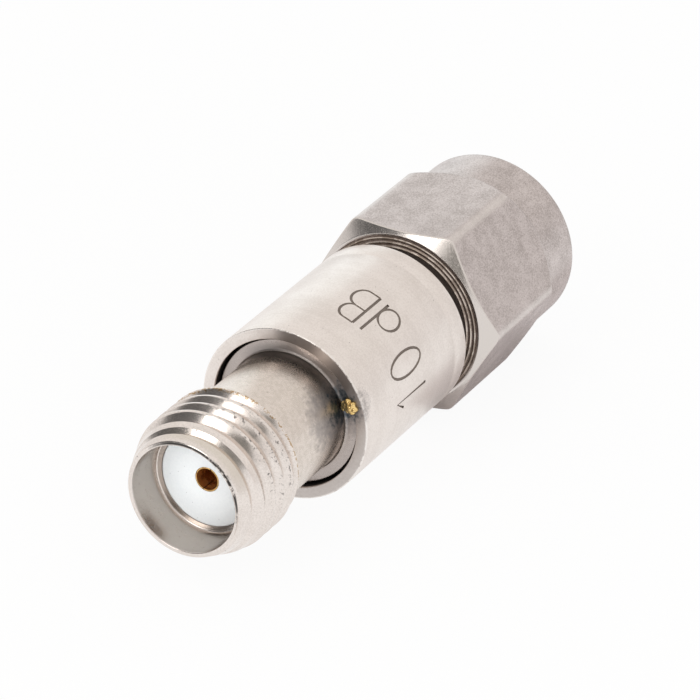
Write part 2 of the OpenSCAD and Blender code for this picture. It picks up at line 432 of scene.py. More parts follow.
class Effects:
    """The shared effects: where a point lies on the part, tool marks, tumbling, pits and stains."""

    PLACE = "place_on_axis"
    MARKS = "turned_marks"
    GRAIN = "tumbled_grain"
    PITS = "fine_pits"
    STAIN = "heat_stain"

    def __init__(self, line: Line) -> None:
        """Builds every group once."""
        self.place(line)
        self.marks()
        self.grain()
        self.pits()
        self.stain()

    def start(self, name: str, inputs: dict, outputs: dict) -> tuple[Graph, bpy.types.Node, bpy.types.Node]:
        """Starts a node group.

        Args:
            name: The group's name.
            inputs: Default value by input name.
            outputs: Socket type by output name.

        Returns:
            The graph, its input node and its output node.
        """
        tree = bpy.data.node_groups.new(name, "ShaderNodeTree")
        for key, value in inputs.items():
            kind = "NodeSocketVector" if isinstance(value, tuple) else "NodeSocketFloat"
            tree.interface.new_socket(name=key, in_out="INPUT", socket_type=kind).default_value = value
        for key, kind in outputs.items():
            tree.interface.new_socket(name=key, in_out="OUTPUT", socket_type=kind)
        return Graph(tree), tree.nodes.new("NodeGroupInput"), tree.nodes.new("NodeGroupOutput")

    def place(self, line: Line) -> None:
        """Puts out a point's place in mm from the jack's mouth, and its radius and angle.

        Args:
            line: The part's axis.
        """
        kinds = {"Place": "NodeSocketVector", "Along": "NodeSocketFloat", "Radius": "NodeSocketFloat"}
        g, _, out = self.start(self.PLACE, {}, kinds | {"Angle": "NodeSocketFloat"})
        spot = g.node("ShaderNodeTexCoord").outputs["Object"]
        mouth = (line.start, 0, line.height)
        moved = g.node("ShaderNodeVectorMath", {0: spot, 1: mouth}, operation="SUBTRACT").outputs[0]
        scaled = g.node("ShaderNodeVectorMath", {0: moved, "Scale": 1 / MM}, operation="SCALE").outputs[0]
        split = g.node("ShaderNodeSeparateXYZ", {0: scaled}).outputs
        across = g.math("ADD", g.math("MULTIPLY", split[1], split[1]), g.math("MULTIPLY", split[2], split[2]))
        g.feed(out.inputs["Place"], scaled)
        g.feed(out.inputs["Along"], split[0])
        g.feed(out.inputs["Radius"], g.math("SQRT", across))
        g.feed(out.inputs["Angle"], g.math("ARCTAN2", split[2], split[1]))

    def marks(self) -> None:
        """Fine rings that a turning tool leaves, broken a little round the axis."""
        kinds = {"Height": "NodeSocketFloat", "Tone": "NodeSocketFloat"}
        g, given, out = self.start(self.MARKS, {"Lines": 8.0}, kinds)
        place = g.group(self.PLACE).outputs
        split = g.node("ShaderNodeSeparateXYZ", {0: place["Place"]}).outputs
        run = g.math("MULTIPLY", g.math("ADD", place["Along"], place["Radius"]), given.outputs["Lines"])
        drift = 0.35
        side, rise = (g.math("MULTIPLY", split[k], drift) for k in (1, 2))
        spot = g.node("ShaderNodeCombineXYZ", {0: run, 1: side, 2: rise}).outputs[0]
        fine = g.noise(spot, 1.0, 3, 0.6)
        wide = g.noise(spot, 0.21, 2, 0.5)
        g.feed(out.inputs["Height"], fine)
        g.feed(out.inputs["Tone"], g.math("MULTIPLY_ADD", fine, 0.45, g.math("MULTIPLY", wide, 0.55)))

    def grain(self) -> None:
        """Soft lumps and fine grain of a tumbled surface."""
        kinds = {"Height": "NodeSocketFloat", "Tone": "NodeSocketFloat"}
        g, given, out = self.start(self.GRAIN, {"Scale": 5.0}, kinds)
        place = g.group(self.PLACE).outputs["Place"]
        coarse = g.noise(place, given.outputs["Scale"], 2, 0.5)
        fine = g.noise(place, g.math("MULTIPLY", given.outputs["Scale"], 3.4), 4, 0.7)
        cloud = g.noise(place, g.math("MULTIPLY", given.outputs["Scale"], 0.24), 3, 0.6)
        g.feed(out.inputs["Height"], g.math("MULTIPLY_ADD", coarse, 0.7, g.math("MULTIPLY", fine, 0.3)))
        g.feed(out.inputs["Tone"], g.math("MULTIPLY_ADD", cloud, 0.28, g.math("MULTIPLY", fine, 0.72)))

    def pits(self) -> None:
        """Scattered tiny pits."""
        inputs = {"Scale": 4.0, "Share": 0.2, "Size": 0.14}
        g, given, out = self.start(self.PITS, inputs, {"Mask": "NodeSocketFloat"})
        place = g.group(self.PLACE).outputs["Place"]
        cells = g.node("ShaderNodeTexVoronoi", {"Vector": place, "Scale": given.outputs["Scale"]}).outputs
        chance = g.node("ShaderNodeSeparateColor", {0: cells["Color"]}).outputs[0]
        drawn = g.math("LESS_THAN", chance, given.outputs["Share"])
        near = g.math("SUBTRACT", 1.0, g.math("DIVIDE", cells["Distance"], given.outputs["Size"]), clamp=True)
        g.feed(out.inputs["Mask"], g.math("MULTIPLY", drawn, g.between(near, 0.0, 0.6)))

    def stain(self) -> None:
        """Heat colours round a point: a dark core, then a brown edge."""
        kinds = {"Mask": "NodeSocketFloat", "Core": "NodeSocketFloat"}
        g, given, out = self.start(self.STAIN, {"Centre": (0.0, 0.0, 0.0), "Reach": 1.0}, kinds)
        place = g.group(self.PLACE).outputs["Place"]
        ends = {0: place, 1: given.outputs["Centre"]}
        away = g.node("ShaderNodeVectorMath", ends, operation="DISTANCE").outputs["Value"]
        ragged = g.math("MULTIPLY_ADD", g.noise(place, 3.4, 6, 0.72), 1.4, -0.70)
        share = g.math("ADD", g.math("DIVIDE", away, given.outputs["Reach"]), ragged)
        g.feed(out.inputs["Mask"], g.between(share, 1.0, 0.35))
        g.feed(out.inputs["Core"], g.between(share, 0.62, 0.2))


@dataclass
class Surface:
    """What a finish's nodes have made so far."""

    colour: Socket
    roughness: Socket
    height: Socket


@dataclass(frozen=True)
class HeatStain:
    """Heat colours and soot round a point: core and edge colour, reach in mm and strength."""

    centre: Triple
    reach: float
    core: Colour
    edge: Colour
    strength: float
    rough: float = 0.12

    def lay(self, g: Graph, on: Surface) -> None:
        """Lays the stain over a finish.

        Args:
            g: The material's graph.
            on: What the finish has made so far.
        """
        stain = g.group(Effects.STAIN, Centre=self.centre, Reach=self.reach).outputs
        tint = g.blend(stain["Core"], self.edge, self.core)
        share = g.math("MULTIPLY", stain["Mask"], self.strength)
        on.colour = g.blend(share, on.colour, tint)
        on.roughness = g.math("MULTIPLY_ADD", share, self.rough, on.roughness)


@dataclass(frozen=True)
class Band:
    """A finish that holds only between two radii and two places along the axis, in mm.

    share is how far it covers, rough what it adds to the roughness, patchy the noise above which it
    shows (0 for all of it), soft the width of its edges, and turn its middle and half width in degrees.
    """

    along: Pair
    radius: Pair
    colour: Colour
    share: float
    rough: float = 0.0
    patchy: float = 0.0
    soft: float = 0.02
    turn: Pair | None = None
    patch_scale: float = 3.4
    patch_edge: float = 0.08
    turn_edge: float = 18.0

    def lay(self, g: Graph, on: Surface) -> None:
        """Lays the band over a finish, all round or within some degrees of an angle.

        Args:
            g: The material's graph.
            on: What the finish has made so far.
        """
        place = g.group(Effects.PLACE).outputs
        mask: object = self.share
        for value, (low, high) in ((place["Along"], self.along), (place["Radius"], self.radius)):
            mask = g.math("MULTIPLY", mask, g.between(value, low - self.soft, low + self.soft))
            mask = g.math("MULTIPLY", mask, g.between(value, high + self.soft, high - self.soft))
        if self.turn:
            middle, half = self.turn
            facing = g.math("COSINE", g.math("SUBTRACT", place["Angle"], math.radians(middle)))
            outer, inner = half + self.turn_edge, max(half - self.turn_edge, 0)
            low, high = (math.cos(math.radians(angle)) for angle in (outer, inner))
            mask = g.math("MULTIPLY", mask, g.between(facing, low, high))
        if self.patchy:
            patches = g.noise(place["Place"], self.patch_scale, 4, 0.7)
            mask = g.math("MULTIPLY", mask, g.between(patches, self.patchy, self.patchy + self.patch_edge))
        on.colour = g.blend(mask, on.colour, self.colour)
        on.roughness = g.math("MULTIPLY_ADD", mask, self.rough, on.roughness)


@dataclass(frozen=True)
class PolishedCone:
    """A turned cone that is left bright where the rest is tumbled."""

    start: Pair
    slope: float
    reach: float
    colour: Colour
    rough: float
    soft: float

    def lay(self, g: Graph, on: Surface) -> None:
        """Lays the polish over a finish.

        Args:
            g: The material's graph.
            on: What the finish has made so far.
        """
        place = g.group(Effects.PLACE).outputs
        along, radius = self.start
        cone = g.math("MULTIPLY_ADD", place["Along"], self.slope, radius - along * self.slope)
        away = g.math("ABSOLUTE", g.math("SUBTRACT", place["Radius"], cone))
        near = g.math("ABSOLUTE", g.math("SUBTRACT", place["Along"], along))
        beside = g.between(away, self.soft, 0.3 * self.soft)
        mask = g.math("MULTIPLY", beside, g.between(near, self.reach, 0.9 * self.reach))
        on.colour = g.blend(mask, on.colour, self.colour)
        on.roughness = g.math("MULTIPLY_ADD", mask, self.rough, on.roughness)
        on.height = g.math("MULTIPLY", on.height, g.math("MULTIPLY_ADD", mask, -0.8, 1.0))


@dataclass(frozen=True)
class Metal:
    """A plated or bare metal, with its tool marks, tumbling and pits.

    lines are the tool marks in a mm, mark and grain the heights of the marks and of the tumbled
    grain in mm, pits the share of cells with a pit, and streaks the share of the marks in the tone.
    """

    name: str
    colour: Colour
    shade: Colour
    roughness: float
    lines: float
    mark: float
    grain: float
    grain_scale: float = 5.0
    pits: float = 0.12
    overlays: tuple = ()
    streaks: float = 0.25

    def build(self) -> bpy.types.Material:
        """Builds the finish's nodes.

        Returns:
            The material.
        """
        material, g, shader = new_material(self.name)
        marks = g.group(Effects.MARKS, Lines=self.lines).outputs
        grain = g.group(Effects.GRAIN, Scale=self.grain_scale).outputs
        pits = g.group(Effects.PITS, Share=self.pits).outputs["Mask"]
        tumbled = g.math("MULTIPLY", grain["Tone"], 1 - self.streaks)
        tone = g.math("MULTIPLY_ADD", marks["Tone"], self.streaks, tumbled)
        clean = g.blend(g.between(tone, 0.40, 0.59), self.shade, self.colour)
        dark = tuple(0.35 * c for c in self.shade[:3]) + (1.0,)
        lumps = g.math("MULTIPLY", grain["Height"], self.grain)
        height = g.math("MULTIPLY_ADD", marks["Height"], self.mark, lumps)
        surface = Surface(
            g.blend(g.math("MULTIPLY", pits, 0.6), clean, dark),
            g.between(tone, 0.3, 0.7, self.roughness + 0.07, self.roughness - 0.05),
            g.math("MULTIPLY_ADD", pits, -0.006, height),
        )
        for overlay in self.overlays:
            overlay.lay(g, surface)
        shader.inputs["Metallic"].default_value = 1.0
        finish_surface(g, shader, surface)
        return material


@dataclass(frozen=True)
class Dielectric:
    """A plastic, rubber or ceramic, with fine grain and specks."""

    name: str
    colour: Colour
    shade: Colour
    roughness: float
    grain: float
    grain_scale: float
    specks: float
    soft_light: float = 0.0
    overlays: tuple = ()

    def build(self) -> bpy.types.Material:
        """Builds the finish's nodes.

        Returns:
            The material.
        """
        material, g, shader = new_material(self.name)
        grain = g.group(Effects.GRAIN, Scale=self.grain_scale).outputs
        marks = g.group(Effects.MARKS, Lines=6.0).outputs
        specks = g.group(Effects.PITS, Scale=6.0, Share=self.specks, Size=0.16).outputs["Mask"]
        tone = g.math("MULTIPLY_ADD", marks["Tone"], 0.35, g.math("MULTIPLY", grain["Tone"], 0.65))
        clean = g.blend(g.between(tone, 0.35, 0.65), self.shade, self.colour)
        dark = tuple(0.3 * c for c in self.shade[:3]) + (1.0,)
        surface = Surface(
            g.blend(g.math("MULTIPLY", specks, 0.7), clean, dark),
            g.between(tone, 0.3, 0.7, self.roughness + 0.08, self.roughness - 0.05),
            g.math("MULTIPLY", grain["Height"], self.grain),
        )
        for overlay in self.overlays:
            overlay.lay(g, surface)
        if self.soft_light:
            shader.inputs["Subsurface Weight"].default_value = self.soft_light
            shader.inputs["Subsurface Radius"].default_value = (0.0004, 0.0004, 0.0004)
        finish_surface(g, shader, surface)
        return material


def new_material(name: str) -> tuple[bpy.types.Material, Graph, bpy.types.Node]:
    """Starts a material with a Principled shader on its output.

    Args:
        name: The material's name.

    Returns:
        The material, its graph and the shader node.
    """
    material = bpy.data.materials.new(name)
    material.use_nodes = True
    material.node_tree.nodes.clear()
    g = Graph(material.node_tree)
    shader = g.node("ShaderNodeBsdfPrincipled")
    g.node("ShaderNodeOutputMaterial", {"Surface": shader.outputs[0]})
    return material, g, shader


def finish_surface(g: Graph, shader: bpy.types.Node, surface: Surface) -> None:
    """Links a finish's colour, roughness and bump to its shader.

    Args:
        g: The material's graph.
        shader: The Principled shader.
        surface: What the finish has made.
    """
    bump = g.node("ShaderNodeBump", {"Strength": 1.0, "Distance": MM, "Height": surface.height})
    g.feed(shader.inputs["Base Color"], surface.colour)
    g.feed(shader.inputs["Roughness"], surface.roughness)
    g.feed(shader.inputs["Normal"], bump.outputs[0])


NICKEL: Colour = (0.84, 0.775, 0.73, 1)
NICKEL_SHADE: Colour = (0.74, 0.675, 0.63, 1)
STEEL: Colour = (0.64, 0.575, 0.555, 1)
STEEL_SHADE: Colour = (0.42, 0.37, 0.35, 1)
GOLD: Colour = (0.83, 0.55, 0.22, 1)
GOLD_SHADE: Colour = (0.62, 0.36, 0.12, 1)
WORN_BRASS: Colour = (0.48, 0.33, 0.18, 1)
# Painted warm reflection for the taper
TAPER_PAINTED_REFLECTION: Colour = (0.66, 0.60, 0.52, 1)
# Painted shade for the top of the fillet
FILLET_PAINTED_SHADE: Colour = (0.20, 0.185, 0.18, 1)
# Painted dark streaks for the sleeve's end face
END_PAINTED_STREAK: Colour = (0.15, 0.13, 0.12, 1)
SOOT: Colour = (0.05, 0.075, 0.095, 1)
# Dirt, and painted shade for the rim, the gaps and the sleeve's bore
DIRT_AND_PAINTED_SHADE: Colour = (0.03, 0.027, 0.025, 1)
# Duller face, and painted shade for the sleeve's end face
DULL_FINISH_AND_SHADE: Colour = (0.36, 0.31, 0.29, 1)
NECK_TINT: Colour = (0.74, 0.655, 0.585, 1)
TARNISH: Colour = (0.50, 0.45, 0.38, 1)
# Darker patches for the thread's root
ROOT_DARKENING: Colour = (0.16, 0.125, 0.10, 1)
# Painted highlight for the sleeve's edges
EDGE_PAINTED_HIGHLIGHT: Colour = (0.95, 0.91, 0.87, 1)
# Grey of stains, and painted reflection low on the sleeve's end face
GREY_STAIN_AND_REFLECTION: Colour = (0.34, 0.31, 0.30, 1)
# Painted shade for the wall inside the jack's mouth
MOUTH_PAINTED_SHADE: Colour = (0.39, 0.345, 0.305, 1)
PTFE: Colour = (0.93, 0.965, 0.985, 1)
PTFE_SHADE: Colour = (0.86, 0.90, 0.93, 1)
# Painted shade for the insulator's bore
HOLLOW_PAINTED_SHADE: Colour = (0.10, 0.05, 0.02, 1)
# Painted light for inside the contact's bore
BORE_PAINTED_LIGHT: Colour = (1.0, 0.60, 0.23, 1)
# Painted shade for inside the contact's bore
BORE_PAINTED_SHADE: Colour = (0.46, 0.18, 0.06, 1)
SOLDER: Colour = (1.0, 0.77, 0.36, 1)
SOLDER_SHADE: Colour = (0.66, 0.43, 0.15, 1)
STROKE_DARK: Colour = (0.16, 0.125, 0.10, 1)
# Painted shade for the barrel between sleeve and nut
BARREL_GAP_SHADE: Colour = (0.42, 0.37, 0.34, 1)
BRONZE: Colour = (0.62, 0.46, 0.28, 1)
BRONZE_SHADE: Colour = (0.45, 0.32, 0.18, 1)
GASKET_RED: Colour = (0.46, 0.10, 0.05, 1)
GASKET_SHADE: Colour = (0.34, 0.07, 0.035, 1)
# Rubbed nut corners, with a painted highlight
CORNER_WEAR_AND_HIGHLIGHT: Colour = (0.80, 0.75, 0.71, 1)
CONE_BRIGHT: Colour = (0.70, 0.65, 0.615, 1)
RING_CREST: Colour = (0.66, 0.575, 0.50, 1)
# Painted shade for the roots of the nut's rings
RING_ROOT_SHADE: Colour = (0.38, 0.31, 0.27, 1)
RING_WORN: Colour = (0.27, 0.21, 0.17, 1)
# Painted shade for the lip inside the nut's rings
LIP_PAINTED_SHADE: Colour = (0.16, 0.14, 0.13, 1)
ALUMINA: Colour = (0.80, 0.79, 0.75, 1)
ALUMINA_SHADE: Colour = (0.70, 0.69, 0.65, 1)
CARRIER: Colour = (0.74, 0.67, 0.56, 1)
CARRIER_SHADE: Colour = (0.62, 0.55, 0.44, 1)


@dataclass
class Jack:
    """The socket end: threaded shell, insulator and slotted contact."""

    line: Line
    land_r: float = 2.5
    taper_l: float = 1.6
    thread_end: float = 3.75
    thread_root: float = 2.68
    thread_from: float = -0.85
    thread_to: float = 4.6
    lead_depth: float = 0.45
    root_w: float = 0.05
    flank_w: float = 0.263
    flare_w: float = 0.31
    flare_h: float = 0.05
    open_w: float = 0.335
    open_h: float = 0.2
    slope: float = 0.3
    neck_r: float = 2.63
    fillet: float = 0.14
    flange_face: float = 8.35
    flange_r: float = 3.17
    press_start: float = 8.95
    press_r: float = 3.26
    slot_w: float = 0.05
    slot_l: float = 2.1
    slot_turns: Pair = (20, 110)
    nose_r: float = 0.525
    nose_l: float = 0.3
    nose_slope: float = 0.15
    chip_gap: float = 0.21
    smear_at: Triple = (7.1, -2.45, 0.85)

    def shell(self) -> Mesh:
        """Turns the shell and cuts its thread.

        Returns:
            The mesh, in mm about the axis.
        """
        end = self.line.span("jack_shell")[1]
        crest = mount("jack_thread", "r_mm")
        bore, depth = mount("jack_bore", "r_mm"), mount("jack_bore", "length_mm")
        inner = self.line.radius("jack_insulator") + FIT
        outline = [
            Corner(0, bore, 0.04), Corner(0, self.land_r, 0.1), Corner(self.taper_l, crest, 0.3),
            Corner(self.thread_end, crest, 0.06), Corner(self.thread_end + self.slope, self.neck_r, 0.12),
            Corner(self.flange_face, self.neck_r, self.fillet), Corner(self.flange_face, self.flange_r, 0.06),
            Corner(self.press_start, self.flange_r), Corner(self.press_start, self.press_r, 0.04),
            Corner(end, self.press_r, 0.04), Corner(end, inner),
            Corner(depth, inner), Corner(depth, bore, 0.08),
        ]
        section = both_flanks([
            (self.open_w, crest + self.open_h), (self.flare_w, crest),
            (self.flank_w, crest - self.flare_h), (self.root_w, self.thread_root),
        ])
        groove = helix(section, THREAD_PITCH, self.thread_from, self.thread_to)
        for v in groove.verts:
            drop = max(0.0, self.taper_l - v.co.x) * (crest - self.land_r) / self.taper_l * self.lead_depth
            radius = math.hypot(v.co.y, v.co.z)
            v.co.yz *= 1 - drop / radius
        return carve(lathe(outline), groove)

    def insulator(self) -> Mesh:
        """Turns the insulator with softened rims.

        Returns:
            The mesh, in mm about the axis.
        """
        first, last = self.line.span("jack_insulator")
        radius, bore = self.line.radius("jack_insulator"), self.line.radius("jack_contact") + FIT
        nose, lead = self.nose_r + FIT, first + self.nose_l
        return lathe([
            Corner(first, nose, 0.01), Corner(first, radius, 0.06),
            Corner(last, radius), Corner(last, bore),
            Corner(lead + self.nose_slope, bore), Corner(lead, nose),
        ])

    def contact(self) -> Mesh:
        """Turns the contact and saws its slots and the chip's groove.

        Returns:
            The mesh, in mm about the axis.
        """
        first, last = self.line.span("jack_contact")
        radius, bore = self.line.radius("jack_contact"), mount("jack_socket", "r_mm")
        deep = first + mount("jack_socket", "length_mm")
        lead = first + self.nose_l
        bm = lathe([
            Corner(deep, 0), Corner(deep, bore),
            Corner(first, bore, 0.02), Corner(first, self.nose_r, 0.02),
            Corner(lead, self.nose_r), Corner(lead + self.nose_slope, radius),
            Corner(last, radius), Corner(last, 0),
        ], closed=False, steps=THIN_STEPS)
        half = self.slot_w / 2
        for turn in self.slot_turns:
            bm = carve(bm, block((first - 1, -half, -2), (first + self.slot_l, half, 2), turn))
        chip = self.line.span("attenuator_chip")[0]
        return carve(bm, block((chip - FIT, -2, -self.chip_gap), (last + 1, 2, self.chip_gap)))

    def wear(self, bead: Vector) -> tuple:
        """Tints, dirt and heat stains of the shell, with painted shade in its mouth, fillet and gap and a
        painted reflection on its taper.

        Args:
            bead: Middle of the solder bead, whose heat has coloured the shell.

        Returns:
            The overlays in the order that they are laid.
        """
        depth = mount("jack_bore", "length_mm")
        face, neck = self.flange_face, (2.5, 2.8)
        return (
            # Painted shade on the wall inside the mouth
            Band((0.06, depth - 0.1), (2.0, 2.34), MOUTH_PAINTED_SHADE, share=0.8, rough=0.06),
            # Painted shadow, in dashes, just inside the rim
            Band((-0.05, 0.06), (2.36, 2.46), DIRT_AND_PAINTED_SHADE, share=0.95, rough=0.1, patchy=0.42, soft=0.015,
                 turn=(122, 62), patch_scale=1.5),
            # Specks on the thread's crests
            Band((0.4, 3.4), (2.98, 3.2), DIRT_AND_PAINTED_SHADE, share=0.8, rough=0.1, patchy=0.55,
                 turn=(140, 45), patch_scale=6.0),
            # Painted warm reflection, darker than the nickel, over the taper's upper side
            Band((0.15, 0.7), (2.5, 2.9), TAPER_PAINTED_REFLECTION, share=0.65, rough=0.03, soft=0.14, turn=(115, 40)),
            # Duller neck, with tarnish in patches
            Band((self.thread_end, face), neck, NECK_TINT, share=0.7, rough=0.09, soft=0.1),
            Band((4.3, face), neck, TARNISH, share=0.24, rough=0.04, patchy=0.47, soft=0.1, patch_scale=4.4),
            # Dull face of the flange, and painted shade with a dark reflection on the top of the fillet in
            # front of it
            Band((face - 0.3, face + 0.03), (self.neck_r + 0.05, 3.2), DULL_FINISH_AND_SHADE, share=0.75, rough=0.1),
            Band((7.75, 8.45), (2.5, 2.95), FILLET_PAINTED_SHADE, share=0.75, rough=0.05, soft=0.2, turn=(92, 38)),
            # Darker patches in the thread's root
            Band((1.5, self.thread_end), (2.4, self.thread_root + 0.08), ROOT_DARKENING, share=0.6, rough=0.1,
                 patchy=0.4, soft=0.04, patch_scale=7.0),
            # Smear on the neck and heat round the bead
            HeatStain(self.smear_at, 1.7, GREY_STAIN_AND_REFLECTION, GREY_STAIN_AND_REFLECTION, strength=0.7),
            HeatStain(tuple(bead), 1.9, SOOT, GREY_STAIN_AND_REFLECTION, strength=0.92),
            # Brass that shows through at the thread's end
            Band((3.4, 3.85), (3.0, 3.15), WORN_BRASS, share=0.95, rough=0.05, patchy=0.47, patch_scale=8.0),
            # Painted shade in the gap behind the flange
            Band((face + 0.06, self.press_start + 0.2), (self.flange_r - 0.05, 3.4), DIRT_AND_PAINTED_SHADE,
                 share=0.95, rough=0.3),
        )

    def build(self, bead: Vector) -> None:
        """Adds the jack's pieces.

        Args:
            bead: Middle of the solder bead, whose heat has coloured the shell.
        """
        metal = Metal(
            "turned_nickel", NICKEL, NICKEL_SHADE, roughness=0.19, lines=9.0, mark=0.0005, grain=0.0008,
            grain_scale=4.0, pits=0.10, overlays=self.wear(bead),
        )
        shell = metal.build()
        body = Body.ATTENUATOR
        add_piece(self.shell(), "threaded_jack_shell", self.line, body, "jack_shell", shell)
        # Painted shade, with a brown gold reflection, in the insulator's bore
        hollow_shade = Band((1.88, 30.0), (0.3, 0.66), HOLLOW_PAINTED_SHADE, share=0.9)
        ptfe = Dielectric(
            "white_insulator", PTFE, PTFE_SHADE, roughness=0.38, grain=0.002, grain_scale=3.0, specks=0.05,
            soft_light=0.25, overlays=(hollow_shade,),
        )
        white = ptfe.build()
        add_piece(self.insulator(), "jack_insulator_bush", self.line, body, "jack_insulator", white)
        first = self.line.span("jack_contact")[0]
        deep, bore = first + 3.0, (0.0, 0.6)
        # Painted light inside the contact's bore, a brighter amber than the plate, and painted shade over it
        # in patches
        inside = Band((first + 0.03, deep), bore, BORE_PAINTED_LIGHT, share=0.95, rough=0.26)
        stain = Band((first + 0.1, deep), bore, BORE_PAINTED_SHADE, share=0.8, patchy=0.48, patch_scale=2.2)
        plate = Metal(
            "gold_plate", GOLD, GOLD_SHADE, roughness=0.24, lines=14.0, mark=0.0008, grain=0.0006,
            overlays=(inside, stain),
        )
        gold = plate.build()
        add_piece(self.contact(), "slotted_contact", self.line, body, "jack_contact", gold)


@dataclass
class Marking:
    """A generic value cut into the sleeve in single strokes: a number and its unit."""

    radius: float
    foot: float = 13.05
    tall: float = 2.4
    wide: float = 0.95
    stroke: float = 0.062
    sink: float = 0.05
    first_angle: float = 186.0
    gap: float = 0.42
    figures: int = 2
    word_gap: float = 0.45

    def bowl(self, x: float, y: float, rx: float, ry: float, turn: Pair) -> list[Pair]:
        """Lays out a bowl of a sign.

        Args:
            x: Middle across the sign.
            y: Middle up the sign.
            rx: Half its width.
            ry: Half its height.
            turn: First and last angle, in degrees.

        Returns:
            The bowl's points.
        """
        count = 22
        angles = [math.radians(turn[0] + (turn[1] - turn[0]) * k / count) for k in range(count + 1)]
        return [(x + rx * math.cos(a), y + ry * math.sin(a)) for a in angles]

    def glyphs(self) -> list[list[list[Pair]]]:
        """Draws each sign in its own width and height.

        Returns:
            The strokes of each sign, as lists of points.
        """
        w, h = self.wide, self.tall
        one = [[(0.2 * w, 0.78 * h), (0.55 * w, h), (0.55 * w, 0)]]
        nought = [self.bowl(w / 2, h / 2, w / 2, h / 2, (0, 360))]
        dee = [self.bowl(w / 2, 0.28 * h, w / 2, 0.28 * h, (0, 360)), [(w, h), (w, 0)]]
        upper = [(0, h), (0.5 * w, h)] + self.bowl(0.5 * w, 0.77 * h, 0.4 * w, 0.23 * h, (80, -80))
        lower = [(0, 0.54 * h), (0.5 * w, 0.54 * h)]
        lower += self.bowl(0.5 * w, 0.27 * h, 0.5 * w, 0.27 * h, (80, -80))
        bee = [[(0, 0), (0, h)], upper + [(0.5 * w, 0.54 * h)], lower + [(0.5 * w, 0), (0, 0)]]
        return [one, nought, dee, bee]

    def cutters(self) -> list[Mesh]:
        """Makes a round-nosed cutter along each stroke, wrapped on the sleeve.

        Returns:
            The cutters' meshes.
        """
        made = []
        reach = self.radius + self.stroke - self.sink
        for k, sign in enumerate(self.glyphs()):
            left = k * (self.wide + self.gap) + (self.word_gap if k >= self.figures else 0)
            for stroke in sign:
                curve = bpy.data.curves.new("stroke", "CURVE")
                curve.dimensions = "3D"
                curve.bevel_depth, curve.bevel_resolution, curve.use_fill_caps = self.stroke, 2, True
                path = curve.splines.new("POLY")
                path.use_cyclic_u = math.dist(stroke[0], stroke[-1]) < WELD
                path.points.add(len(stroke) - 1 - path.use_cyclic_u)
                for point, (x, y) in zip(path.points, stroke):
                    angle = math.radians(self.first_angle) - (left + x) / self.radius
                    point.co = (self.foot - y, reach * math.cos(angle), reach * math.sin(angle), 1)
                drawn = bpy.data.objects.new("stroke", curve)
                bpy.context.scene.collection.objects.link(drawn)
                bm = bmesh.new()
                bm.from_mesh(drawn.to_mesh())
                bpy.data.objects.remove(drawn)
                bpy.data.curves.remove(curve)
                bmesh.ops.remove_doubles(bm, verts=bm.verts, dist=WELD)
                bmesh.ops.recalc_face_normals(bm, faces=bm.faces)
                made.append(bm)
        return made


